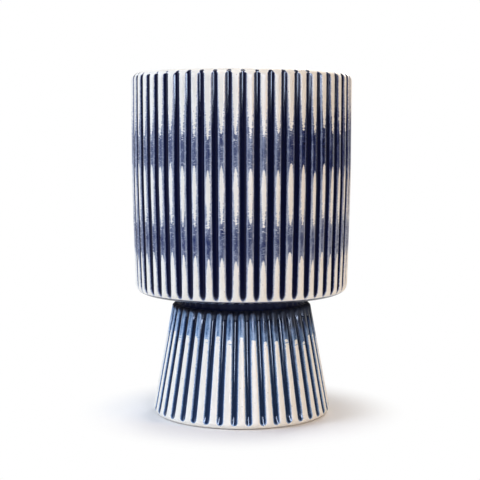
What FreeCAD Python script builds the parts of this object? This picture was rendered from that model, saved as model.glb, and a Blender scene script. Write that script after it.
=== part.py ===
import FreeCAD, Part
import math
import os

# Fluted stoneware cachepot: a round bowl luted onto a flared, hollow foot.
# Frame: millimetres, +Z up, origin at the middle of the foot's standing ring.
# The front of the pot faces -Y.

# Bowl
bowl_diameter = 180.0  # over the ribs, at the widest
bowl_height = 180.0
bowl_wall = 9.7
bowl_floor = 10.0
draw_height = 95.0  # lower part of the side, which draws in
bowl_side_draw = 2.75  # how far it draws in, down to the underside
side_bend_radius = 40.0  # between the upright part and the drawn-in part
bowl_corner_radius = 8.3  # outside, where the side turns under
bowl_inner_corner_radius = 14.0
lip_outer_share = 0.80  # of the wall, rounded on the outside of the lip
lip_inner_share = 0.125  # of the wall, rounded on the inside of the lip
bowl_flute_count = 52
bowl_flute_width = 4.8  # across the mouth of a flute
bowl_flute_depth = 2.2
bowl_flute_turn = 0.65  # degrees, from a flute that faces the front

# Foot
foot_height = 99.0
foot_base_diameter = 148.0  # over the ribs, where the slope meets the ground
foot_shoulder_diameter = 114.0  # over the ribs, where the slope meets the shoulder
foot_wall = 12.0
shoulder_drop = 9.0  # from the top of the foot down to its shoulder
shoulder_radius = 3.2
neck_recess = 6.5  # from the shoulder in to the neck
neck_cove_radius = 2.0
foot_edge_radius = 5.0  # outside, where the slope turns under
foot_ring_radius = 1.5  # inside edge of the standing ring
foot_flute_count = 40
foot_flute_width = 4.9
foot_flute_depth = 2.0
foot_flute_end = 3.4  # lowest point of a flute, above the ground

# Seam and glazes
seam_thickness = 1.0  # fired slip between foot and bowl
flute_glaze = 0.8  # cobalt glaze pooled on the floor of a flute
lining_glaze = 0.3  # cream glaze inside the bowl
neck_glaze_radius = 3.0  # cobalt glaze gathered in the corner under the bowl

overrun = 5.0  # how far every cutter runs past what it cuts

# Heights and radii that the pieces share
bowl_base = foot_height + seam_thickness
bowl_top = bowl_base + bowl_height
cavity_radius = bowl_diameter / 2 - bowl_wall
cavity_floor = bowl_base + bowl_floor
lip_outer = bowl_wall * lip_outer_share
lip_inner = bowl_wall * lip_inner_share
shoulder_height = foot_height - shoulder_drop
foot_slope = math.atan2((foot_base_diameter - foot_shoulder_diameter) / 2, shoulder_height)
neck_radius = foot_shoulder_diameter / 2 - neck_recess
top_angle = math.pi / 2
down_angle = -math.pi / 2
vertical = FreeCAD.Vector(0, 0, 1)
centre = FreeCAD.Vector(0, 0, 0)


def at(radius, height):
    """A point of the half section that is turned about the pot's axis."""
    return FreeCAD.Vector(radius, 0, height)


def along(angle, length):
    """A step of that length in the half section, at that angle above level."""
    return at(length * math.cos(angle), length * math.sin(angle))


def line(start, end):
    return Part.LineSegment(start, end).toShape()


def arc(middle, radius, start_angle, end_angle):
    angles = (start_angle, (start_angle + end_angle) / 2, end_angle)
    return Part.Arc(*[middle + along(angle, radius) for angle in angles]).toShape()


def chain(points):
    """Straight edges from each point to the next."""
    return [line(start, end) for start, end in zip(points, points[1:])]


def disc(middle, direction, radius):
    """A round face that looks along a direction."""
    return Part.Face(Part.Wire([Part.Circle(middle, direction, radius).toShape()]))


def turned(edges):
    """The solid that a closed outline in the half section sweeps round the axis."""
    return Part.Face(Part.Wire(edges)).revolve(centre, vertical, 360)


def ring_of(shape, count, first_turn):
    """Copies of a shape, evenly spaced round the axis."""
    copies = []
    for index in range(count):
        copy = shape.copy()
        copy.rotate(centre, vertical, first_turn + index * 360 / count)
        copies.append(copy)
    return copies


def facing_front(turn):
    """Turn about the axis that brings the half section to the front, plus a turn."""
    return turn - 90


# Bowl side: upright above, drawn in below, with a slow bend between the two
draw_angle = math.atan2(bowl_side_draw, draw_height)
bend_height = bowl_base + draw_height + side_bend_radius * math.tan(draw_angle / 2)
bend_centre = at(bowl_diameter / 2 - side_bend_radius, bend_height)


def drawn_side(height):
    """Radius of the bowl's drawn-in side, over the ribs."""
    return bowl_diameter / 2 - (bowl_base + draw_height - height) * math.tan(draw_angle)


def corner_rounding():
    """Centre of the rounding where the drawn-in side turns under."""
    height = bowl_base + bowl_corner_radius
    return at(drawn_side(height) - bowl_corner_radius / math.cos(draw_angle), height)


def bowl_form(inset):
    """The bowl's outer form with no hollow, drawn in by an inset all over."""
    corner = corner_rounding()
    corner_radius = bowl_corner_radius - inset
    bend_radius = side_bend_radius - inset
    lip = at(bowl_diameter / 2 - lip_outer, bowl_top - lip_outer)
    lip_radius = lip_outer - inset
    base = at(0, bowl_base + inset)
    top = at(0, bowl_top - inset)
    return turned([
        line(base, at(corner.x, base.z)),
        arc(corner, corner_radius, down_angle, -draw_angle),
        line(corner + along(-draw_angle, corner_radius), bend_centre + along(-draw_angle, bend_radius)),
        arc(bend_centre, bend_radius, -draw_angle, 0),
        line(bend_centre + along(0, bend_radius), lip + along(0, lip_radius)),
        arc(lip, lip_radius, 0, top_angle),
        *chain([at(lip.x, top.z), top, base]),
    ])


def segment_radius(width, depth):
    """Radius of the round cutter that leaves a flute of that width and depth."""
    return (width ** 2 / 4 + depth ** 2) / (2 * depth)


def bowl_flute_cutter():
    """A round bar that follows the bowl's side, past the lip and the underside."""
    bar = segment_radius(bowl_flute_width, bowl_flute_depth)
    outside = bar - bowl_flute_depth
    low_height = bowl_base - overrun
    low = at(drawn_side(low_height), low_height) + along(-draw_angle, outside)
    bend_low = bend_centre + along(-draw_angle, side_bend_radius + outside)
    bend_high = bend_centre + along(0, side_bend_radius + outside)
    high = at(bend_high.x, bowl_top + overrun)
    low_disc = disc(low, bend_low - low, bar)
    bend_disc = disc(bend_low, bend_low - low, bar)
    high_disc = disc(bend_high, vertical, bar)
    across = FreeCAD.Vector(0, -1, 0)
    return low_disc.extrude(bend_low - low).fuse([
        bend_disc.revolve(bend_centre, across, math.degrees(draw_angle)),
        high_disc.extrude(high - bend_high),
    ])


def bowl_cavity():
    """The round hollow of the bowl, rounded at its floor and at the lip's inner edge."""
    corner = at(cavity_radius - bowl_inner_corner_radius, cavity_floor + bowl_inner_corner_radius)
    lip = at(cavity_radius + lip_inner, bowl_top - lip_inner)
    floor = at(0, cavity_floor)
    above = at(0, bowl_top + overrun)
    return turned([
        line(floor, at(corner.x, floor.z)),
        arc(corner, bowl_inner_corner_radius, down_angle, 0),
        line(at(cavity_radius, corner.z), at(cavity_radius, lip.z)),
        arc(lip, lip_inner, math.pi, top_angle),
        *chain([at(lip.x, bowl_top), at(lip.x, above.z), above, floor]),
    ])


def make_bowl():
    cutters = ring_of(bowl_flute_cutter(), bowl_flute_count, facing_front(bowl_flute_turn))
    return bowl_form(0).cut([bowl_cavity(), *cutters])


def make_bowl_flute_glaze():
    """One strip of glaze on the floor of each flute."""
    level = bowl_form(bowl_flute_depth - flute_glaze)
    strip = bowl_flute_cutter().common(level)
    return ring_of(strip, bowl_flute_count, facing_front(bowl_flute_turn))


def make_bowl_lining_glaze():
    """A thin cup of glaze on the cavity's wall and floor."""
    corner = at(cavity_radius - bowl_inner_corner_radius, cavity_floor + bowl_inner_corner_radius)
    inner_corner_radius = bowl_inner_corner_radius - lining_glaze
    inner_wall = cavity_radius - lining_glaze
    under = at(0, cavity_floor)
    over = at(0, cavity_floor + lining_glaze)
    rim_height = bowl_top - lip_inner
    return turned([
        line(under, at(corner.x, under.z)),
        arc(corner, bowl_inner_corner_radius, down_angle, 0),
        *chain([
            at(cavity_radius, corner.z),
            at(cavity_radius, rim_height),
            at(inner_wall, rim_height),
            at(inner_wall, corner.z),
        ]),
        arc(corner, inner_corner_radius, 0, down_angle),
        *chain([at(corner.x, over.z), over, under]),
    ])


# Foot
def foot_radius(height):
    """Radius of the foot's slope, over the ribs."""
    return foot_base_diameter / 2 - height * math.tan(foot_slope)


def rounding_in_slope(radius, height):
    """Centre of a rounding, at that height, that runs smoothly into the foot's slope."""
    return at(foot_radius(height) - radius / math.cos(foot_slope), height)


def foot_form(inset):
    """The foot's outer form with no hollow, drawn in by an inset all over."""
    edge = rounding_in_slope(foot_edge_radius, foot_edge_radius)
    shoulder = rounding_in_slope(shoulder_radius, shoulder_height - shoulder_radius)
    cove = at(neck_radius + neck_cove_radius, shoulder_height + neck_cove_radius)
    edge_radius = foot_edge_radius - inset
    round_radius = shoulder_radius - inset
    cove_radius = neck_cove_radius + inset
    bottom = at(0, inset)
    top = at(0, foot_height - inset)
    return turned([
        line(bottom, at(edge.x, bottom.z)),
        arc(edge, edge_radius, down_angle, foot_slope),
        line(edge + along(foot_slope, edge_radius), shoulder + along(foot_slope, round_radius)),
        arc(shoulder, round_radius, foot_slope, top_angle),
        line(shoulder + along(top_angle, round_radius), cove + along(down_angle, cove_radius)),
        arc(cove, cove_radius, down_angle, -math.pi),
        *chain([cove + along(math.pi, cove_radius), at(neck_radius - inset, top.z), top, bottom]),
    ])


def foot_flute_cutter():
    """A round bar with a round lower end, laid along the slope past the shoulder."""
    bar = segment_radius(foot_flute_width, foot_flute_depth)
    outside = along(foot_slope, bar - foot_flute_depth)
    low_height = foot_flute_end + bar
    high_height = shoulder_height + overrun
    low = at(foot_radius(low_height), low_height) + outside
    high = at(foot_radius(high_height), high_height) + outside
    return disc(low, high - low, bar).extrude(high - low).fuse(Part.makeSphere(bar, low))


def inner_slope_radius(height):
    return foot_radius(height) - foot_wall


def foot_cavity():
    """The open cone under the foot, rounded at the standing ring's inner edge."""
    ring = at(
        inner_slope_radius(foot_ring_radius) + foot_ring_radius / math.cos(foot_slope), foot_ring_radius
    )
    below = at(0, -overrun)
    above = at(0, foot_height + overrun)
    return turned([
        *chain([above, below, at(ring.x, below.z), at(ring.x, 0)]),
        arc(ring, foot_ring_radius, down_angle, foot_slope - math.pi),
        *chain([
            ring + along(foot_slope - math.pi, foot_ring_radius),
            at(inner_slope_radius(above.z), above.z),
            above,
        ]),
    ])


def foot_flute_turn():
    """A rib, and so half a step between flutes, faces the front."""
    return facing_front(180 / foot_flute_count)


def make_foot():
    cutters = ring_of(foot_flute_cutter(), foot_flute_count, foot_flute_turn())
    return foot_form(0).cut([foot_cavity(), *cutters])


def make_foot_flute_glaze():
    """One strip of glaze on the floor of each flute of the foot."""
    level = foot_form(foot_flute_depth - flute_glaze)
    strip = foot_flute_cutter().common(level)
    return ring_of(strip, foot_flute_count, foot_flute_turn())


# Seam between the two
def make_luting_seam():
    """The flat ring of fired slip that holds the bowl on the foot."""
    inner = inner_slope_radius(foot_height)
    return turned(chain([
        at(inner, foot_height),
        at(neck_radius, foot_height),
        at(neck_radius, bowl_base),
        at(inner, bowl_base),
        at(inner, foot_height),
    ]))


def make_neck_glaze():
    """Glaze gathered in the corner between the neck, the seam and the underside."""
    hollow = at(neck_radius + neck_glaze_radius, bowl_base - neck_glaze_radius)
    return turned([
        *chain([at(neck_radius, hollow.z), at(neck_radius, bowl_base), at(hollow.x, bowl_base)]),
        arc(hollow, neck_glaze_radius, top_angle, math.pi),
    ])


def save(name, solids):
    """Writes one node, which is one solid or a group of like solids."""
    shape = Part.makeCompound([solid for item in solids for solid in item.Solids])
    bad = [solid for solid in shape.Solids if not solid.isValid()]
    print(name, "solids", len(shape.Solids), "not valid", len(bad), "volume", round(shape.Volume, 1))
    shape.exportStep(os.path.join("parts", name + ".step"))


os.makedirs("parts", exist_ok=True)
save("bowl", [make_bowl()])
save("bowl_flute_glaze", make_bowl_flute_glaze())
save("bowl_lining_glaze", [make_bowl_lining_glaze()])
save("foot", [make_foot()])
save("foot_flute_glaze", make_foot_flute_glaze())
save("luting_seam", [make_luting_seam()])
save("neck_glaze", [make_neck_glaze()])
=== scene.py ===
import math

import bpy
import numpy as np
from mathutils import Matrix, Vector


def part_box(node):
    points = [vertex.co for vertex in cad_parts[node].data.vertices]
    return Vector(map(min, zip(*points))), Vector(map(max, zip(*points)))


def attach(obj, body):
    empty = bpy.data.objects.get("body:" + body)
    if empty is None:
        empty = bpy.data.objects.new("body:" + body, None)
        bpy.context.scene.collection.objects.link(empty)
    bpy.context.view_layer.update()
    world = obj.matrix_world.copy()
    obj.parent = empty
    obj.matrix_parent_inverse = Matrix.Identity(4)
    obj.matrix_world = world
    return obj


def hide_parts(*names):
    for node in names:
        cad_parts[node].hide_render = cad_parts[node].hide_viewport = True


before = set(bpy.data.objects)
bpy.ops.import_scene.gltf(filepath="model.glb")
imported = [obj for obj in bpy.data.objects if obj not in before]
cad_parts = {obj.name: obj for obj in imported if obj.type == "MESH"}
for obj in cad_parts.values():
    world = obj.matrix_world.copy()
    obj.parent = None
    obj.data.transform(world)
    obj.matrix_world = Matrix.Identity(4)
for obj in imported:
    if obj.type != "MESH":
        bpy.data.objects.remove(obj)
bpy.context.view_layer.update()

mm = 0.001  # shapes are worked out in millimetres
nearly = 0.01  # heights closer than this are the same
chance = np.random.default_rng(52)  # small differences that a hand leaves


def linearColour(code):
    # sRGB hex to linear: c/12.92 below 0.04045, ((c+0.055)/1.055)^2.4 above
    parts = [int(code[i:i + 2], 16) / 255 for i in (1, 3, 5)]
    return tuple(c / 12.92 if c <= 0.04045 else ((c + 0.055) / 1.055) ** 2.4 for c in parts) + (1.0,)


def addNode(tree, kind, inputs=(), out=0, **settings):
    # one node with its settings; inputs are sockets to link or values to set
    node = tree.nodes.new("ShaderNode" + kind)
    for name, value in settings.items():
        setattr(node, name, value)
    for name, value in inputs.items() if isinstance(inputs, dict) else enumerate(inputs):
        if isinstance(value, bpy.types.NodeSocket):
            tree.links.new(value, node.inputs[name])
        else:
            node.inputs[name].default_value = value
    return node.outputs[out]


def smoothStep(low, high, value):
    # cubic ease from 0 at low to 1 at high
    t = np.clip((value - low) / (high - low), 0, 1)
    return t * t * (3 - 2 * t)


def softMin(a, b, blend):
    # the smaller of two radii, with the corner between them eased over blend
    h = np.clip(0.5 + 0.5 * (b - a) / blend, 0, 1)
    return b * (1 - h) + a * h - blend * h * (1 - h)


def handWaver(angle, height, longest, seed):
    # mean of a few sines round and along the pot, -1 to 1, as a hand finish leaves
    dice = np.random.default_rng(seed)
    waves, fullTurn = 5, 6.283
    total = 0
    for i in range(waves):
        turns, phase, rise = dice.integers(1, 9), dice.uniform(0, fullTurn), dice.uniform(0.4, 1.6)
        total = total + np.sin(turns * angle + rise * fullTurn * height / longest + phase)
    return total / waves


def fluteColumns(count, turn):
    # angles round the pot, closer together at the flute edges, and the flute that each column starts from
    shares = np.array([0, 0.16, 0.28, 0.36, 0.44, 0.54, 0.68, 0.84,
                       1, 1.16, 1.32, 1.46, 1.56, 1.64, 1.72, 1.84])
    flute = np.repeat(np.arange(count), len(shares))
    angle = (flute + np.tile(shares, count) / 2) * 2 * math.pi / count - math.pi / 2 + turn
    return angle, flute


def fluteOffset(angle, count, turn):
    # number of the nearest flute, and the angle from its middle
    pitch = 2 * math.pi / count
    fromFirst = angle + math.pi / 2 - turn
    return np.round(fromFirst / pitch).astype(int) % count, (fromFirst + pitch / 2) % pitch - pitch / 2


def arcPoints(centre, radius, start, stop, steps):
    # points of a section along an arc, angles in degrees from straight out
    a = np.radians(np.linspace(start, stop, steps))
    return np.stack([centre[0] + radius * np.cos(a), centre[1] + radius * np.sin(a)], -1)


def carried(radius, angle, height):
    # radius and height at each angle, as x, y, z
    return np.stack([radius * np.cos(angle), radius * np.sin(angle), height + 0 * angle], -1)


def putSurface(name, points, loop, marks, nodes):
    # rows of points carried round the axis
    # a loop joins the last row to the first, otherwise a middle point closes each end
    rows, columns = points.shape[:2]
    here = np.arange(columns)
    after = np.roll(here, -1)
    low = np.arange(rows if loop else rows - 1)[:, None] * columns
    high = (low + columns) % (rows * columns)
    faces = np.stack([low + here, low + after, high + after, high + here], -1).reshape(-1, 4).tolist()
    spots = points.reshape(-1, 3)
    marks = {key: value.reshape(-1) for key, value in marks.items()}
    if not loop:
        last = (rows - 1) * columns
        middle = len(spots)
        spots = np.vstack([spots, points[0].mean(0), points[-1].mean(0)])
        for key, value in marks.items():
            marks[key] = np.append(value, [value[:columns].mean(), value[-columns:].mean()])
        faces += np.stack([np.full(columns, middle), after, here], -1).tolist()
        faces += np.stack([last + here, last + after, np.full(columns, middle + 1)], -1).tolist()
    mesh = bpy.data.meshes.new(name)
    mesh.from_pydata((spots * mm).tolist(), [], faces)
    for key, value in marks.items():
        mesh.attributes.new(key, "FLOAT", "POINT").data.foreach_set("value", value.astype(np.float32))
    mesh.polygons.foreach_set("use_smooth", np.ones(len(mesh.polygons), bool))
    mesh.update()
    piece = bpy.data.objects.new(name, mesh)
    bpy.context.scene.collection.objects.link(piece)
    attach(piece, "root")
    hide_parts(*nodes)
    print(name, len(spots), "points")
    return piece


# fluted bowl; heights given in pairs are from the floor
bowl = {
    "flutes": 52, "turn": 0.65,  # degrees from a flute that faces the front
    "wall": 9.7, "floor": 10, "lipOut": 7.76, "lipIn": 1.21,
    "corner": 8.3, "cornerOut": 0.2, "innerCorner": 14,
    "sideDraw": 2.75, "drawHeight": 95, "bend": 6,  # the lower side draws in, past a soft bend
    "underRings": (20, 43, 50.5, 53.5, 66), "bareWithin": 54, "floorRing": 30,
    "cornerRows": 13, "sideRows": 46, "sideGaps": (0.6, 0.3), "lipRows": 27, "innerRows": 5,
    "fluteHalf": 2.5, "fluteDeep": 1.9, "squareness": 2.6, "edgeBlend": 0.5,
    "halfSpread": 0.07, "lowWider": 0.05, "widerBelow": (200, 270),
    "crownFall": 0.45, "crownFrom": 2, "crownOver": 3.4,  # ribs are a little round across
    "drift": 0.25, "sway": 0.14, "swayLength": 120, "swaySeed": 3,  # flutes cut by hand wander
    "waver": 0.16, "waverLength": 180, "waverFrom": (60, 80), "waverSeed": 8,
    # the glaze in a flute: its two tips, how round they are and how much they differ
    "lowTip": 3.2, "lowTipRound": 7.5, "lowTipSquash": 0.37,
    "topTip": 1.2, "topTipRound": 2.0, "topTipSpread": 0.7,
    "shortBy": 1.6,  # in these flutes it stops under the lip
    "shortTips": (6, 7, 8, 9, 12, 13, 16, 19, 20, 24, 27, 28, 31, 35, 36, 40, 43, 44, 45, 46, 47),
    "glazeSpread": 0.07, "topNarrower": 0.09, "narrowAbove": (225, 262),
    "lowNarrower": 0.08, "narrowBelow": (112, 140),
    # where a flute's floor meets the lip, the glaze breaks thin and narrow, and is painted paler there as a
    # painted highlight of the light on that ridge
    "ridgeDrop": 2.8, "ridgeHalf": 0.75, "ridgeThinAndGlint": 2.6, "ridgeNarrower": 0.45, "ridgeSpan": (-0.5, 1.2),
    "breakSeed": 23, "ribSeed": 7,
}


def bowlSide(radius, base, z):
    # radius less draw/height * bend * log(1 + exp((top of the draw - z)/bend)): upright above, drawn in below
    drawTop, bend = base + bowl["drawHeight"], bowl["bend"]
    return radius - bowl["sideDraw"] / bowl["drawHeight"] * bend * np.log1p(np.exp((drawTop - z) / bend))


def bowlSection(radius, base, top):
    # section from the middle of the underside, up the side, over the lip and down inside
    lean = math.degrees(math.atan(bowl["sideDraw"] / bowl["drawHeight"]))
    c, inner, floor = bowl["corner"], radius - bowl["wall"], base + bowl["floor"]
    out, over, turnIn = bowl["lipOut"], bowl["lipIn"], bowl["innerCorner"]
    sideLow = base + c * (1 - math.sin(math.radians(lean))) + bowl["sideGaps"][0]
    side = np.linspace(sideLow, top - out - bowl["sideGaps"][1], bowl["sideRows"])
    cornerAt = radius - bowl["sideDraw"] - c + bowl["cornerOut"]
    return np.concatenate([
        [[r, base] for r in bowl["underRings"]],
        arcPoints((cornerAt, base + c), c, -90, -lean, bowl["cornerRows"]),
        np.stack([bowlSide(radius, base, side), side], -1),
        arcPoints((radius - out, top - out), out, 0, 90, bowl["lipRows"]),
        arcPoints((inner + over, top - over), over, 90, 180, bowl["innerRows"]),
        arcPoints((inner - turnIn, floor + turnIn), turnIn, 0, -90, bowl["innerRows"]),
        [[bowl["floorRing"], floor]],
    ])


def makeBowl():
    # radius = softMin(section, side - crown - deep * exp(-(x/half)^square)), x across from a flute's middle
    low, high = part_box("bowl")
    radius, base, top = (high.x - low.x) / 2 / mm, low.z / mm, high.z / mm
    section = bowlSection(radius, base, top)
    r, z = section[:, :1], section[:, 1:]
    count, turn = bowl["flutes"], math.radians(bowl["turn"])
    angle, flute = fluteColumns(count, turn)
    near, offset = fluteOffset(angle, count, turn)
    side = bowlSide(radius, base, z)
    drift = chance.uniform(-bowl["drift"], bowl["drift"], count)[near]
    x = offset * side - drift
    x = x - bowl["sway"] * handWaver(angle * 0 + near, z, bowl["swayLength"], bowl["swaySeed"])
    wider = chance.uniform(-bowl["halfSpread"], bowl["halfSpread"], count)[near]
    half = bowl["fluteHalf"] * (1 + wider + bowl["lowWider"] * (1 - smoothStep(*bowl["widerBelow"], z)))
    crown = bowl["crownFall"] * (1 - np.clip((np.abs(x) - bowl["crownFrom"]) / bowl["crownOver"], 0, 1)) ** 2
    cut = side - crown - bowl["fluteDeep"] * np.exp(-(np.abs(x) / half) ** bowl["squareness"])
    body = np.where(z > base + nearly, softMin(r + 0 * x, cut, bowl["edgeBlend"]), r)
    crest = len(bowl["underRings"]) - 1 + bowl["cornerRows"] + bowl["sideRows"] + bowl["lipRows"]
    inside = np.arange(len(section))[:, None] > crest + 2  # from two rows past the top of the lip
    body = np.where(inside, r, body)
    waver = bowl["waver"] * (0.5 + 0.5 * handWaver(angle, z, bowl["waverLength"], bowl["waverSeed"]))
    body = body - waver * smoothStep(*bowl["waverFrom"], r) * ~inside

    # the pooled glaze ends in a round tip at both ends of a flute, measured along the section
    along = np.concatenate([[0], np.cumsum(np.hypot(*np.diff(section, axis=0).T))])[:, None]
    levels = [base + bowl["lowTip"], top - bowl["topTip"], top - bowl["ridgeDrop"]]
    lower, upper, ridge = np.interp(levels, z[:crest, 0], along[:crest, 0])
    upper = upper + chance.uniform(-bowl["topTipSpread"], bowl["topTipSpread"], count)[near]
    upper = upper - bowl["shortBy"] * np.isin(near, bowl["shortTips"])
    tip = np.maximum(lower + bowl["lowTipRound"] - along, 0) * bowl["lowTipSquash"]
    tip = tip + np.maximum(along - upper + bowl["topTipRound"], 0)
    narrow = 1 + chance.uniform(-bowl["glazeSpread"], bowl["glazeSpread"], count)[near]
    narrow = narrow + bowl["topNarrower"] * smoothStep(*bowl["narrowAbove"], z)
    narrow = narrow + bowl["lowNarrower"] * (1 - smoothStep(*bowl["narrowBelow"], z))
    ridgeFrom, ridgeTo = ridge + np.array(bowl["ridgeSpan"])
    narrow = narrow + bowl["ridgeNarrower"] * smoothStep(ridgeFrom, ridgeTo, along)
    # the thin break at the ridge, also a painted highlight: a paler blue line on some flutes
    breakAndGlint = np.random.default_rng(bowl["breakSeed"]).uniform(0, 1, count)[near]
    breakAndGlint = breakAndGlint * np.exp(-((along - ridge) / bowl["ridgeHalf"]) ** 2)
    seed = np.random.default_rng(bowl["ribSeed"]).uniform(0, 1, count)
    marks = {
        "fromFlute": np.hypot(x * narrow, tip) + bowl["ridgeThinAndGlint"] * breakAndGlint,
        "upTo": z + 0 * x,
        "ribSeed": seed[flute] + 0 * x,
        "bareClay": 0 * x + (z < base + nearly) * (r < bowl["bareWithin"]),
    }
    points = carried(body, angle, z)
    return putSurface("fluted_bowl", points, False, marks, ["bowl", "bowl_flute_glaze"])


flutedBowl = makeBowl()

# fluted foot
foot = {
    "flutes": 40, "turn": 4.5,
    "baseRadius": 74, "shoulderRadius": 57,  # where the slope meets the floor and the shoulder
    "shoulderDrop": 8.4, "shoulderRound": 2.6, "neckRecess": 6.5, "cove": 2, "coveFrom": -100,
    "edge": 5, "ringEdge": 1.5, "ringTo": 258, "wall": 12,
    "edgeRows": 12, "sideRows": 40, "sideGaps": (0.8, 0.4), "shoulderRows": 9,
    "coveRows": 5, "neckRows": 4, "neckFrom": 3.5, "innerRows": 12, "ringRows": 5,
    "fluteHalf": 2.3, "lowWider": 1.08, "upNarrower": 0.16, "narrowOver": 90,
    "fluteDeep": 1.7, "squareness": 2.5, "edgeBlend": 0.4,
    "fluteEnd": 3.4, "endRound": 2.4, "runOut": 3, "runSlope": 0.5,  # a flute's floor comes up slowly
    "crownFall": 0.5, "crownFrom": 1.8, "crownOver": 3.2,
    "drift": 0.25, "sway": 0.15, "swayLength": 90, "swaySeed": 5,
    # flutes end lower than the ribs at the shoulder
    "tipFall": 3.4, "tipAcross": (1.2, 3.5), "tipHeight": (82, 89), "tipFrom": (0.5, 5.5),
    "neckRelief": 1.2, "neckHalf": 2.4,  # faint flutes on the neck
    "bareBelow": 0.4, "ribSeed": 11,
}
neckRadius = foot["shoulderRadius"] - foot["neckRecess"]


def footSection(top):
    # closed section: standing ring, edge, slope, shoulder, neck and seat, then the inner cone and back
    base, shoulder = foot["baseRadius"], top - foot["shoulderDrop"]
    slope = (base - foot["shoulderRadius"]) / shoulder
    lean = math.degrees(math.atan(slope))
    sine, rise = math.sin(math.radians(lean)), math.hypot(1, slope)
    e, s, q, cove = foot["edge"], foot["shoulderRound"], foot["ringEdge"], foot["cove"]
    inner = base - foot["wall"]
    edgeAt = base - slope * e - e * rise
    shoulderAt = base - slope * (shoulder - s) - s * rise
    ringAt = inner - slope * q + q * rise
    sideLow = e + e * sine + foot["sideGaps"][0]
    sideTop = shoulder - s + s * sine - foot["sideGaps"][1]
    side = np.linspace(sideLow, sideTop, foot["sideRows"])
    neckUp = np.linspace(shoulder + foot["neckFrom"], top, foot["neckRows"])
    down = np.linspace(top, q, foot["innerRows"])[:-1]
    outer = np.concatenate([
        [[ringAt, 0]],
        arcPoints((edgeAt, e), e, -90, lean, foot["edgeRows"]),
        np.stack([base - slope * side, side], -1),
        arcPoints((shoulderAt, shoulder - s), s, lean, 90, foot["shoulderRows"]),
        [[neckRadius + cove, shoulder]],
        arcPoints((neckRadius + cove, shoulder + cove), cove, foot["coveFrom"], -180, foot["coveRows"]),
        np.stack([neckRadius + 0 * neckUp, neckUp], -1),
    ])
    hollow = np.concatenate([
        np.stack([inner - slope * down, down], -1),
        arcPoints((ringAt, q), q, 180 + lean, foot["ringTo"], foot["ringRows"]),
    ])
    return np.concatenate([outer, hollow]), len(outer), slope


def makeFoot():
    # as the bowl, with x replaced at a flute's lower end by the distance to the end ball's middle
    section, outerRows, slope = footSection(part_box("foot")[1].z / mm)
    r, z = section[:, :1], section[:, 1:]
    outside = np.arange(len(section))[:, None] < outerRows
    count, turn = foot["flutes"], math.radians(foot["turn"])
    angle, flute = fluteColumns(count, turn)
    near, offset = fluteOffset(angle, count, turn)
    side = foot["baseRadius"] - slope * z
    drift = chance.uniform(-foot["drift"], foot["drift"], count)[near]
    x = offset * side - drift
    x = x - foot["sway"] * handWaver(angle * 0 + near, z, foot["swayLength"], foot["swaySeed"])
    half = foot["fluteHalf"] * (foot["lowWider"] - foot["upNarrower"] * z / foot["narrowOver"])
    ball = foot["fluteEnd"] + foot["endRound"]
    away = np.hypot(x, np.minimum(z - ball, 0))
    crown = foot["crownFall"] * (1 - np.clip((away - foot["crownFrom"]) / foot["crownOver"], 0, 1)) ** 2
    runOut = np.hypot(x, np.minimum(z - ball - foot["runOut"], 0) * foot["runSlope"])
    cut = side - crown - foot["fluteDeep"] * np.exp(-(runOut / half) ** foot["squareness"])
    body = np.where(outside & (z > nearly), softMin(r + 0 * x, cut, foot["edgeBlend"]), r)
    tipFrom, tipTo = neckRadius + np.array(foot["tipFrom"])
    body = body - foot["neckRelief"] * np.exp(-(x / foot["neckHalf"]) ** 2) * (outside & (r < tipFrom))
    fall = foot["tipFall"] * (1 - smoothStep(*foot["tipAcross"], np.abs(x)))
    fall = fall * smoothStep(*foot["tipHeight"], z) * smoothStep(tipFrom, tipTo, r) * outside
    seed = np.random.default_rng(foot["ribSeed"]).uniform(0, 1, count)
    marks = {
        "fromFlute": away,
        "upTo": z + 0 * x,
        "ribSeed": seed[flute] + 0 * x,
        "bareClay": (~outside | (z < foot["bareBelow"])) + 0 * x,
    }
    points = carried(body, angle, z - fall)
    return putSurface("fluted_foot", points, True, marks, ["foot", "foot_flute_glaze"])


flutedFoot = makeFoot()

# glaze that gathers under the bowl and runs down the neck
neckGlaze = {
    "skin": 0.25, "columns": 480, "coveRows": 6, "neckRows": 3, "neckGaps": (0.8, 0.4), "filletRows": 8,
    "filletTo": 95, "behind": 1.6, "toe": (0.3, 0.6), "underFillet": 0.3,
}


def makeNeckGlaze():
    # closed ring: up the ribbed skin, round a hollow fillet to the bowl's underside, and back down behind
    low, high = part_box("neck_glaze")
    top, fillet = high.z / mm, (high.z - low.z) / mm
    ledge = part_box("foot")[1].z / mm - foot["shoulderDrop"]
    skin, cove, behind, toe = neckGlaze["skin"], foot["cove"], neckGlaze["behind"], neckGlaze["toe"]
    fromNeck, toNeck = ledge + cove + neckGlaze["neckGaps"][0], top - fillet - neckGlaze["neckGaps"][1]
    neckUp = np.linspace(fromNeck, toNeck, neckGlaze["neckRows"])
    coveAt, filletAt = (neckRadius + cove, ledge + cove), (neckRadius + skin + fillet, top - fillet)
    section = np.concatenate([
        arcPoints(coveAt, cove - skin, foot["coveFrom"], -180, neckGlaze["coveRows"]),
        np.stack([neckRadius + skin + 0 * neckUp, neckUp], -1),
        arcPoints(filletAt, fillet, 180, neckGlaze["filletTo"], neckGlaze["filletRows"]),
        [[neckRadius + fillet, top], [neckRadius - behind, top], [neckRadius - behind, ledge + cove]],
        [[neckRadius - toe[0], ledge + toe[1]]],
    ])
    r, z = section[:, :1], section[:, 1:]
    angle = np.linspace(0, 2 * math.pi, neckGlaze["columns"], endpoint=False)
    x = fluteOffset(angle, foot["flutes"], math.radians(foot["turn"]))[1] * neckRadius
    relief = foot["neckRelief"] * np.exp(-(x / foot["neckHalf"]) ** 2) * smoothStep(ledge, ledge + cove, z)
    relief = relief * (1 - smoothStep(top - fillet, top - neckGlaze["underFillet"], z)) * (r > neckRadius)
    points = carried(r - relief, angle, z)
    return putSurface("neck_glaze_ring", points, True, {}, ["neck_glaze"])


neckRing = makeNeckGlaze()

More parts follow.
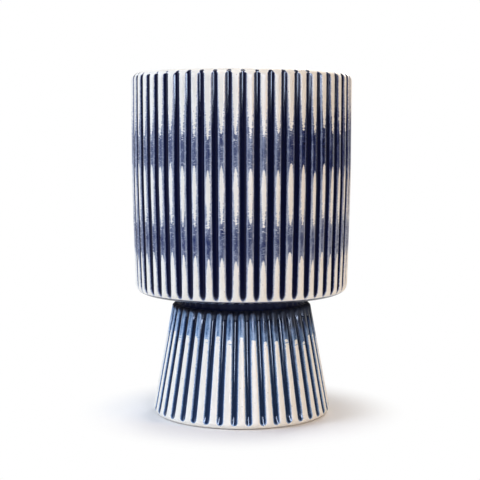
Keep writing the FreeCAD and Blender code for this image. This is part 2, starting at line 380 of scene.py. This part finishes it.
# smooth glaze cup that lines the bowl
lining = {"thick": 0.3, "columns": 192, "floorRings": (8, 40), "cornerRows": 9, "wallRows": 18, "wallFrom": 6}


def makeLining():
    # closed thin cup: up the outside, over its edge and down the inside
    low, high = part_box("bowl_lining_glaze")
    radius, base, top = (high.x - low.x) / 2 / mm, low.z / mm, high.z / mm
    c, thick = bowl["innerCorner"], lining["thick"]
    wall = np.linspace(base + c + lining["wallFrom"], top, lining["wallRows"])
    section = np.concatenate([
        [[r, base] for r in lining["floorRings"]],
        arcPoints((radius - c, base + c), c, -90, 0, lining["cornerRows"]),
        np.stack([radius + 0 * wall, wall], -1),
        np.stack([radius - thick + 0 * wall, wall[::-1]], -1),
        arcPoints((radius - c, base + c), c - thick, 0, -90, lining["cornerRows"]),
        [[r, base + thick] for r in lining["floorRings"][::-1]],
    ])
    angle = np.linspace(0, 2 * math.pi, lining["columns"], endpoint=False)
    r, z = section[:, :1], section[:, 1:]
    points = carried(r + 0 * angle, angle, z)
    return putSurface("lining_cup", points, False, {}, ["bowl_lining_glaze"])


liningCup = makeLining()

# glazed stoneware, turned, fluted and dipped: a satin white glaze with a few iron specks gives warm cream
# with a soft sheen; cobalt brushed over it pools in the flutes, nearly black and glossy, and lies on the
# ribs as a milky blue-grey wash with runs, flecks and brush lines
bowlBands = {
    "from": 96, "to": 284,  # heights from the floor
    # how far the blue reaches from a flute's middle, and how strong the wash is, by height
    "reach": [(98, 3.3), (118, 3.5), (128, 3.7), (133, 4.1), (136, 4.7), (137.5, 5.3), (138.5, 8),
              (158.5, 8), (160.5, 5.2), (162, 4.6), (168, 4.2), (176, 3.9), (184, 3.7),
              (192, 3.7), (200, 4.0), (204, 4.5), (206.7, 5.2), (207.7, 8),
              (227, 8), (229.5, 5.2), (231, 4.6), (237, 4.2), (245, 3.8), (254, 3.5), (262, 3.3), (282, 3.2)],
    "wash": [(98, 0.25), (130, 0.3), (137, 0.42), (150, 0.54), (158, 0.46), (168, 0.36), (190, 0.3),
             (204, 0.35), (207, 0.42), (218, 0.48), (228, 0.44), (240, 0.36), (282, 0.25)],
    # how ragged the blue's edge is, and where brush lines show
    "fray": [(98, 0.6), (135, 0.8), (139, 1.8), (146, 1.0), (160, 3.0), (172, 2.2), (184, 0.8), (204, 0.8),
             (208, 2.2), (214, 1.2), (220, 1.4), (229, 3.2), (246, 2.4), (262, 1.2), (282, 0.6)],
    "comb": [(98, 0), (156, 0), (160, 0.6), (166, 0.5), (172, 0),
             (224, 0), (229, 0.6), (236, 0.5), (242, 0), (282, 0)],
    "side": (18, 55, 0, 1), "uneven": (170, 200, -0.08, 0.25),  # across and up, how much heavier the wash is
    "lean": (20, 50, 0, 1), "rise": (214, 228, 0, -3),  # and how far the bands are shifted
    # painted shade: the underside's rounding, which sits in shadow under the bowl, is coloured all blue below
    # this height
    "paintedShade": (102.7, 102.0, 0, 1),  # all blue below this
    "lift": 5, "waver": 6, "ragged": 1.6, "runs": 0.4, "flecks": 0.75,
    "flute": (1.9, 3.4, 1, 0),  # from a flute's middle, where the pool thins out
    "tones": [(0.08, "#c5c9d0"), (0.28, "#999fad"), (0.48, "#666e86"), (0.72, "#26305a"), (0.95, "#060a2a")],
}
footBands = {
    "from": -2, "to": 102,
    "reach": [(-1, 2.8), (4, 3.0), (40, 3.1), (60, 3.2), (66.4, 3.4), (67.0, 4.4), (67.4, 8), (101, 8)],
    # painted shade: towards the shoulder, under the bowl, the wash deepens to full blue, over the cobalt that
    # really pools at the neck
    "wash": [(-1, 0.25), (60, 0.3), (68, 0.36), (76, 0.50), (83, 0.58), (86, 0.64),
             (87.6, 0.78), (89, 1), (101, 1)],
    "fray": [(-1, 0.5), (50, 0.6), (64, 1.6), (70, 1.6), (75, 0.9), (101, 0.6)],
    "comb": [(-1, 0), (60, 0), (64, 0.9), (74, 0.9), (79, 0.3), (84, 0), (101, 0)],
    "poolAndShade": [(-1, 0.85), (50, 0.88), (66, 0.93), (84, 1), (101, 1)],  # painted shade: the flutes' blue is lighter low down and deepest towards the shoulder under the bowl
    "side": (-25, 45, -0.3, 1), "uneven": (73, 83, 0.20, 0.55),
    "lean": (-45, 45, -1, 0.2), "rise": (40, 55, 0, 4),
    # painted shade on the rib tips and ledge under the bowl, with the cobalt that pools at the neck: all blue
    # above this
    "paintedShade": (87.6, 89.2, 0, 1),  # all blue above this
    "dull": (83, 90.4, 0, 0.5), "matt": (66, 76, 0, 0.3),  # rougher by the neck and on the heavy side's ribs
    "lift": 4, "waver": 4, "ragged": 1.4, "runs": 0.55, "flecks": 0.45,
    "flute": (1.35, 3.5, 1, 0),
    "tones": [(0.08, "#bccad8"), (0.28, "#92abc8"), (0.48, "#567396"), (0.74, "#263b5d"), (0.95, "#081229")],
}
# a lead free glaze with some tin bends light a little more than glass
creamGlaze = {"pale": "#eeeadf", "deeper": "#e5decf", "speck": "#8a6a4a", "clay": "#b99f82", "ior": 1.6}
glazeLook = {
    # size in millimetres, stretch, detail and roughness of each noise
    "noises": {
        "wide": (30, (1, 1, 1), 2, 0.5),  # clouds of the dip
        "middle": (4, (1, 1, 1), 3, 0.6),  # blotches of the wash
        "fine": (1.1, (1, 1, 1), 2, 0.5),  # satin grain, about 0.2 mm on the pot, drawn coarser to show
        "fleck": (2.2, (1, 1, 2.4), 2, 0.5),  # spots that the brush left bare, also painted as small white glints
        "comb": (2.8, (0.35, 0.35, 2), 1, 0.5),  # brush hairs, about 0.5 mm, drawn coarser to show
        "run": (2.2, (1, 1, 0.18), 1, 0.5),  # runs down the ribs
    },
    "edgeFine": 0.4, "edge": (-0.5, 0.4, 1, 0), "ripple": 0.4,
    "blotch": 0.4, "blotchFine": 0.15, "crown": (3.0, 4.4, -0.08, 0.11),
    "bareAndGlint": (0.58, 0.64, 0, -1), "frayed": (0.9, 2.8), "leastFlecks": 0.25, "evener": 0.7,
    "scratch": (0.56, 0.66, 0, 0.4), "tint": (0.02, 0.26, 0, 1),
    "mottleMiddle": 0.6, "mottle": (0.5, 1.1, 0, 1), "speckSpacing": 5, "speck": (0.05, 0.09, 0.75, 0),
    "clayGrain": (0.3, 0.7, 0.75, 1.05), "clayRough": 0.85,
    "gloss": (0.3, 0.85, 0.40, 0.07), "satin": (0.2, 0.8, 0.5, 0.04), "bump": 0.4, "bumpHeight": 0.0001,
}
# what the bands give by height, and the most that each can say
drawnCurves = [("reach", 8), ("wash", 1), ("comb", 1), ("fray", 4), ("poolAndShade", 1)]
noiseMean = 0.5
eased = {"interpolation_type": "SMOOTHSTEP"}
inColour = {"data_type": "RGBA"}  # a Mix node then takes its colours at 6 and 7 and gives one at 2


def paintedStoneware(name, bands):
    look = glazeLook
    material = bpy.data.materials.new(name)
    material.use_nodes = True
    tree = material.node_tree
    shader = tree.nodes["Principled BSDF"]
    coords = addNode(tree, "TexCoord", out="Object")
    place = addNode(tree, "VectorMath", [coords, (1 / mm, 1 / mm, 1 / mm)], operation="MULTIPLY")
    across = addNode(tree, "SeparateXYZ", [place], "X")
    height = addNode(tree, "Attribute", out="Fac", attribute_name="upTo")
    fromFlute = addNode(tree, "Attribute", out="Fac", attribute_name="fromFlute")
    ribSeed = addNode(tree, "Attribute", out="Fac", attribute_name="ribSeed")
    bareClay = addNode(tree, "Attribute", out="Fac", attribute_name="bareClay")
    noise = {}
    for key, (size, stretch, detail, rough) in look["noises"].items():
        spread = addNode(tree, "VectorMath", [place, stretch], operation="MULTIPLY")
        grain = {"Vector": spread, "Scale": 1 / size, "Detail": detail, "Roughness": rough}
        noise[key] = addNode(tree, "TexNoise", grain, "Fac")
    wide, middle, fine, fleck = noise["wide"], noise["middle"], noise["fine"], noise["fleck"]

    # height moved a little on each rib, so no two band edges line up; the wash was laid heavier on one side
    moved = addNode(tree, "Math", [ribSeed, bands["lift"], -bands["lift"] / 2], operation="MULTIPLY_ADD")
    moved = addNode(tree, "Math", [height, moved], operation="ADD")
    for shape, most in ((wide, bands["waver"]), (middle, bands["ragged"])):
        shift = addNode(tree, "Math", [shape, most * 2, -most], operation="MULTIPLY_ADD")
        moved = addNode(tree, "Math", [moved, shift], operation="ADD")
    heavySide = addNode(tree, "MapRange", [across, *bands["side"]], **eased)
    lean = addNode(tree, "MapRange", [across, *bands["lean"]], **eased)
    rise = addNode(tree, "MapRange", [height, *bands["rise"]])
    moved = addNode(tree, "Math", [lean, rise, moved], operation="MULTIPLY_ADD")

    # what is drawn by height in the bands above
    drawn = {}
    span = bands["to"] - bands["from"]
    for key, most in drawnCurves:
        if key not in bands:
            continue
        upTo = height if key in ("fray", "poolAndShade") else moved
        share = addNode(tree, "MapRange", [upTo, bands["from"], bands["to"], 0, 1])
        line = addNode(tree, "FloatCurve", {"Value": share})
        curve = line.node.mapping.curves[0]
        spots = [((z - bands["from"]) / span, y / most) for z, y in bands[key]]
        curve.points[0].location, curve.points[1].location = spots[0], spots[-1]
        for spot in spots[1:-1]:
            curve.points.new(*spot)
        for point in curve.points:
            point.handle_type = "VECTOR"
        line.node.mapping.update()
        drawn[key] = addNode(tree, "Math", [line, most], operation="MULTIPLY")

    # where the blue lies: closer to the flute than its reach, with a flecked edge
    edge = addNode(tree, "Math", [fleck, noiseMean], operation="SUBTRACT")
    edge = addNode(tree, "Math", [edge, drawn["fray"]], operation="MULTIPLY")
    edge = addNode(tree, "Math", [fine, look["edgeFine"], edge], operation="MULTIPLY_ADD")
    away = addNode(tree, "Math", [fromFlute, edge], operation="ADD")
    away = addNode(tree, "Math", [away, look["edgeFine"] * noiseMean], operation="SUBTRACT")
    past = addNode(tree, "Math", [away, drawn["reach"]], operation="SUBTRACT")
    cover = addNode(tree, "MapRange", [past, *look["edge"]], **eased)

    # how thick it lies: full in the flute, a blotched wash on the rib, thinnest on the rib's edges
    ripple = addNode(tree, "Math", [fine, look["ripple"] * 2, -look["ripple"]], operation="MULTIPLY_ADD")
    inFlute = addNode(tree, "Math", [fromFlute, ripple], operation="ADD")
    pooled = addNode(tree, "MapRange", [inFlute, *bands["flute"]], **eased)
    # on the foot this also carries painted shade, deeper towards the shoulder under the bowl
    if "poolAndShade" in drawn:
        pooled = addNode(tree, "Math", [pooled, drawn["poolAndShade"]], operation="MULTIPLY")
    blotch = addNode(tree, "Math", [middle, look["blotch"], -look["blotch"] / 2], operation="MULTIPLY_ADD")
    blotch = addNode(tree, "Math", [noise["run"], bands["runs"], blotch], operation="MULTIPLY_ADD")
    blotch = addNode(tree, "Math", [fine, look["blotchFine"], blotch], operation="MULTIPLY_ADD")
    heavier = addNode(tree, "MapRange", [height, *bands["uneven"]])
    blotch = addNode(tree, "Math", [heavySide, heavier, blotch], operation="MULTIPLY_ADD")
    crown = addNode(tree, "MapRange", [fromFlute, *look["crown"]], **eased)
    wash = addNode(tree, "Math", [drawn["wash"], blotch], operation="ADD")
    wash = addNode(tree, "Math", [wash, crown], operation="ADD")
    usual = (look["blotchFine"] + bands["runs"]) * noiseMean
    wash = addNode(tree, "Math", [wash, usual], operation="SUBTRACT", use_clamp=True)

    # flecks that the brush left bare, which also stand in for small white glints as painted highlights, fewer
    # on the heavy side, and lines that it combed out
    flecks = bands["flecks"]
    frayed = addNode(tree, "MapRange", [drawn["fray"], *look["frayed"], flecks * look["leastFlecks"], flecks])
    evener = addNode(tree, "Math", [heavySide, -look["evener"], 1], operation="MULTIPLY_ADD")
    frayed = addNode(tree, "Math", [frayed, evener], operation="MULTIPLY")
    bareAndGlint = addNode(tree, "MapRange", [fleck, *look["bareAndGlint"]], **eased)
    bareAndGlint = addNode(tree, "Math", [bareAndGlint, frayed, 1], operation="MULTIPLY_ADD")
    wash = addNode(tree, "Math", [wash, bareAndGlint], operation="MULTIPLY")
    thick = addNode(tree, "Math", [pooled, wash], operation="MAXIMUM")
    thick = addNode(tree, "Math", [thick, cover], operation="MULTIPLY")
    scratch = addNode(tree, "MapRange", [noise["comb"], *look["scratch"]], **eased)
    scratch = addNode(tree, "Math", [scratch, drawn["comb"]], operation="MULTIPLY")
    thick = addNode(tree, "Math", [thick, scratch], operation="MAXIMUM")
    # painted shade: full blue on the bowl's shadowed underside rounding and on the foot's top under the bowl
    paintedShade = addNode(tree, "MapRange", [height, *bands["paintedShade"]])
    thick = addNode(tree, "Math", [thick, paintedShade], operation="MAXIMUM")

    # blue by its thickness over specked cream, and bare clay where nothing was brushed on
    blue = addNode(tree, "ValToRGB", {"Fac": thick})
    stops = blue.node.color_ramp.elements
    for i, (spot, tone) in enumerate(bands["tones"]):
        stop = stops[i] if i < 2 else stops.new(spot)
        stop.position, stop.color = spot, linearColour(tone)
    pale, deeper, speck, bare = [linearColour(creamGlaze[key]) for key in ("pale", "deeper", "speck", "clay")]
    mottle = addNode(tree, "Math", [middle, look["mottleMiddle"], wide], operation="MULTIPLY_ADD")
    mottle = addNode(tree, "MapRange", [mottle, *look["mottle"]])
    cream = addNode(tree, "Mix", {0: mottle, 6: pale, 7: deeper}, 2, **inColour)
    iron = addNode(tree, "TexVoronoi", {"Vector": place, "Scale": 1 / look["speckSpacing"]}, "Distance")
    iron = addNode(tree, "MapRange", [iron, *look["speck"]])
    cream = addNode(tree, "Mix", {0: iron, 6: cream, 7: speck}, 2, **inColour)
    tint = addNode(tree, "MapRange", [thick, *look["tint"]], **eased)
    colour = addNode(tree, "Mix", {0: tint, 6: cream, 7: blue}, 2, **inColour)
    grain = addNode(tree, "MapRange", [fine, *look["clayGrain"]])
    clay = addNode(tree, "VectorMath", {0: bare[:3], "Scale": grain}, operation="SCALE")
    colour = addNode(tree, "Mix", {0: bareClay, 6: colour, 7: clay}, 2, **inColour)
    tree.links.new(colour, shader.inputs["Base Color"])

    gloss = addNode(tree, "MapRange", [thick, *look["gloss"]])
    if "dull" in bands:
        dull = addNode(tree, "MapRange", [height, *bands["dull"]])
        gloss = addNode(tree, "Math", [gloss, dull], operation="ADD")
        onRib = addNode(tree, "Math", [1, pooled], operation="SUBTRACT")
        onRib = addNode(tree, "Math", [onRib, heavySide], operation="MULTIPLY", use_clamp=True)
        matt = addNode(tree, "MapRange", [height, *bands["matt"]])
        gloss = addNode(tree, "Math", [matt, onRib, gloss], operation="MULTIPLY_ADD")
    gloss = addNode(tree, "Mix", {0: bareClay, 2: gloss, 3: look["clayRough"]}, 0)
    tree.links.new(gloss, shader.inputs["Roughness"])
    satin = addNode(tree, "MapRange", [thick, *look["satin"]])  # the pooled glaze lies smooth
    skin = addNode(tree, "Math", [fine, satin, thick], operation="MULTIPLY_ADD")
    bump = {"Height": skin, "Strength": look["bump"], "Distance": look["bumpHeight"]}
    tree.links.new(addNode(tree, "Bump", bump, "Normal"), shader.inputs["Normal"])
    shader.inputs["IOR"].default_value = creamGlaze["ior"]
    return material


flutedBowl.data.materials.append(paintedStoneware("glazedStonewareBowl", bowlBands))
flutedFoot.data.materials.append(paintedStoneware("glazedStonewareFoot", footBands))

# finishes of one colour, clouded between two tones
# grain is the size of the skin's unevenness in millimetres, drawn coarser than it is so that it shows
plainFinishes = {
    # poured in and out again, so it lies even: pale cream with a soft wet shine
    "creamLiningGlaze": {"tones": ("#ebe5d8", "#e2d9ca"), "rough": 0.25, "grain": 1.2, "shine": 0.5},
    # cobalt glaze run together under the bowl: nearly black blue, gone dull where it is thickest
    "cobaltPooledGlaze": {"tones": ("#0b102e", "#1a2140"), "rough": 0.6, "grain": 1.2, "shine": 0.2},
    # joining slip fired bare: brown, dry and sandy
    "firedJoiningSlip": {"tones": ("#a98f74", "#8f7760"), "rough": 0.85, "grain": 0.8, "shine": 0.5},
}
plainLook = {
    "cloud": 22,  # millimetres
    "middle": (0.3, 0.7), "roughSpread": 0.2, "bump": 0.4, "bumpHeight": 0.0001, "ior": 1.5,
}


def plainFinish(name):
    finish, look = plainFinishes[name], plainLook
    material = bpy.data.materials.new(name)
    material.use_nodes = True
    tree = material.node_tree
    shader = tree.nodes["Principled BSDF"]
    coords = addNode(tree, "TexCoord", out="Object")
    clouds = {"Vector": coords, "Scale": 1 / mm / look["cloud"], "Detail": 3}
    cloud = addNode(tree, "TexNoise", clouds, "Fac")
    grain = {"Vector": coords, "Scale": 1 / mm / finish["grain"], "Detail": 2}
    skin = addNode(tree, "TexNoise", grain, "Fac")
    blend = addNode(tree, "MapRange", [cloud, *look["middle"], 0, 1])
    light, deep = [linearColour(tone) for tone in finish["tones"]]
    colour = addNode(tree, "Mix", {0: blend, 6: light, 7: deep}, 2, **inColour)
    tree.links.new(colour, shader.inputs["Base Color"])
    least, most = finish["rough"] * (1 - look["roughSpread"]), finish["rough"] * (1 + look["roughSpread"])
    rough = addNode(tree, "MapRange", [skin, *look["middle"], least, most])
    tree.links.new(rough, shader.inputs["Roughness"])
    bump = {"Height": skin, "Strength": look["bump"], "Distance": look["bumpHeight"]}
    tree.links.new(addNode(tree, "Bump", bump, "Normal"), shader.inputs["Normal"])
    shader.inputs["IOR"].default_value = look["ior"]
    shader.inputs["Specular IOR Level"].default_value = finish["shine"]
    return material


liningCup.data.materials.append(plainFinish("creamLiningGlaze"))
neckRing.data.materials.append(plainFinish("cobaltPooledGlaze"))
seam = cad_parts["luting_seam"]
seam.data.materials.clear()
seam.data.materials.append(plainFinish("firedJoiningSlip"))
print("materials done")

# floor, light and camera, in metres and watts
studio = {
    "floorTone": "#f1f0ee", "floorRough": 0.9, "floorRadius": 0.6, "floorColumns": 96, "floorDrop": 0.0002,
    "floorRings": (0.03, 0.1, 0.2, 0.3, 0.45, 1.0),  # shares of the radius
    "floorWhite": (0.070, 0.14, 0, 1),  # keeps the shadow near the foot
    # name, place, size, watts, colour, and whether it lights the pot, is mirrored in its glaze, or both
    "lamps": [
        ("coolSide", (-2.20, -0.90, 1.05), (1.1, 1.6), 49, "#d6e4ff", "lights"),
        ("warmSide", (2.10, -1.00, 1.15), (0.9, 1.4), 17, "#ffc77e", "lights"),
        ("topBox", (-0.1, -0.10, 1.45), (0.45, 0.45), 4.0, "#ffffff", "both"),
        ("nearFront", (0.24, -1.56, 0.62), (0.6, 0.95), 6.2, "#f2f4ff", "lights"),
        ("window", (0.30, -1.32, 0.73), (0.44, 0.95), 23, "#cfe0ff", "mirrored"),
        ("farFront", (0.80, -2.44, 0.85), (0.4, 1.3), 11.5, "#f2f4ff", "lights"),
        ("rightStrip", (1.25, -1.10, 0.38), (0.08, 0.22), 0.9, "#dce8ff", "both"),
        ("leftStrip", (-1.28, 0.18, 0.70), (0.35, 0.95), 4, "#e0ecff", "both"),
        ("backBox", (0.8, 2.3, 1.3), (1.4, 1.4), 34, "#ffffff", "both"),
    ],
    "target": (0, 0, 0.16),
    "room": 0.13, "roomUp": (-0.1, 0.9), "roomShares": (0.5, 1.6),  # the room is lighter above
    # the glaze mirrors a white backdrop behind, a little white on the left, and a darker room in front
    "backdrop": (0.1, 0.4, 0, 1), "leftWall": (-0.55, -0.85, 0, 0.2), "dimmer": 0.6,
    "eye": (-0.0012, -1.056, 0.238), "pitch": 5.16, "lens": 96.2, "sensor": 36,
}


def makeFloor():
    # a disc: ring radius times cos and sin of the angle, just under the standing ring
    columns = studio["floorColumns"]
    angle = np.linspace(0, 2 * math.pi, columns, endpoint=False)
    rings = np.array(studio["floorRings"])[:, None] * studio["floorRadius"]
    points = carried(rings + 0 * angle, angle, -studio["floorDrop"] + 0 * rings).reshape(-1, 3)
    here, after = np.arange(columns), np.roll(np.arange(columns), -1)
    low = np.arange(len(rings) - 1)[:, None] * columns
    high = low + columns
    faces = np.stack([low + here, high + here, high + after, low + after], -1).reshape(-1, 4).tolist()
    faces.append(here.tolist())
    mesh = bpy.data.meshes.new("floor")
    mesh.from_pydata(points.tolist(), [], faces)
    floor = bpy.data.objects.new("floor", mesh)
    bpy.context.scene.collection.objects.link(floor)
    # matt painted board, white to the eye away from the pot
    material = bpy.data.materials.new("paleStudioFloor")
    material.use_nodes = True
    tree = material.node_tree
    shader = tree.nodes["Principled BSDF"]
    shader.inputs["Base Color"].default_value = linearColour(studio["floorTone"])
    shader.inputs["Roughness"].default_value = studio["floorRough"]
    coords = addNode(tree, "TexCoord", out="Object")
    away = addNode(tree, "VectorMath", [coords], "Value", operation="LENGTH")
    fade = addNode(tree, "MapRange", [away, *studio["floorWhite"]], **eased)
    seen = addNode(tree, "LightPath", out="Is Camera Ray")
    rays = seen.node.outputs
    for ray in ("Is Transmission Ray", "Is Glossy Ray"):
        seen = addNode(tree, "Math", [seen, rays[ray]], operation="MAXIMUM")
    fade = addNode(tree, "Math", [fade, seen], operation="MULTIPLY")
    white = addNode(tree, "Emission", {"Color": (1, 1, 1, 1), "Strength": 1})
    shown = addNode(tree, "MixShader", [fade, shader.outputs[0], white])
    tree.links.new(shown, tree.nodes["Material Output"].inputs["Surface"])
    mesh.materials.append(material)


def makeLight():
    target = Vector(studio["target"])
    for name, spot, size, watts, tone, task in studio["lamps"]:
        lamp = bpy.data.lights.new(name, "AREA")
        lamp.shape, lamp.size, lamp.size_y = "RECTANGLE", *size
        lamp.energy, lamp.color = watts, linearColour(tone)[:3]
        holder = bpy.data.objects.new(name, lamp)
        holder.location = spot
        holder.rotation_euler = (target - Vector(spot)).to_track_quat("-Z", "Y").to_euler()
        holder.visible_camera = False
        holder.visible_diffuse, holder.visible_glossy = task != "mirrored", task != "lights"
        bpy.context.scene.collection.objects.link(holder)
    world = bpy.data.worlds.new("studio")
    bpy.context.scene.world = world
    world.use_nodes = True
    tree = world.node_tree
    shader = tree.nodes["Background"]
    seen = addNode(tree, "LightPath", out="Is Camera Ray")
    rays = seen.node.outputs
    white = addNode(tree, "Math", [seen, rays["Is Transmission Ray"]], operation="MAXIMUM")
    direction = addNode(tree, "TexCoord", out="Generated")
    axes = addNode(tree, "SeparateXYZ", [direction]).node.outputs
    behind = addNode(tree, "MapRange", [axes["Y"], *studio["backdrop"]])
    leftWall = addNode(tree, "MapRange", [axes["X"], *studio["leftWall"]])
    mirrored = addNode(tree, "Math", [behind, leftWall], operation="MAXIMUM")
    mirrored = addNode(tree, "Math", [mirrored, rays["Is Glossy Ray"]], operation="MULTIPLY")
    white = addNode(tree, "Math", [white, mirrored], operation="MAXIMUM")
    below, above = [studio["room"] * share for share in studio["roomShares"]]
    room = addNode(tree, "MapRange", [axes["Z"], *studio["roomUp"], below, above])
    dimmer = addNode(tree, "Math", [rays["Is Glossy Ray"], -studio["dimmer"], 1], operation="MULTIPLY_ADD")
    room = addNode(tree, "Math", [room, dimmer], operation="MULTIPLY")
    strength = addNode(tree, "Mix", {0: white, 2: room, 3: 1.0}, 0)
    shader.inputs["Color"].default_value = (1, 1, 1, 1)
    tree.links.new(strength, shader.inputs["Strength"])


makeFloor()
makeLight()
print("floor and light done")
eye = bpy.data.cameras.new("eye")
eye.lens, eye.sensor_width = studio["lens"], studio["sensor"]
camera = bpy.data.objects.new("eye", eye)
camera.location = studio["eye"]
camera.rotation_euler = (math.radians(90 - studio["pitch"]), 0, 0)
bpy.context.scene.collection.objects.link(camera)
bpy.context.scene.camera = camera
bpy.context.scene.view_settings.view_transform = "Standard"

print("scene done")
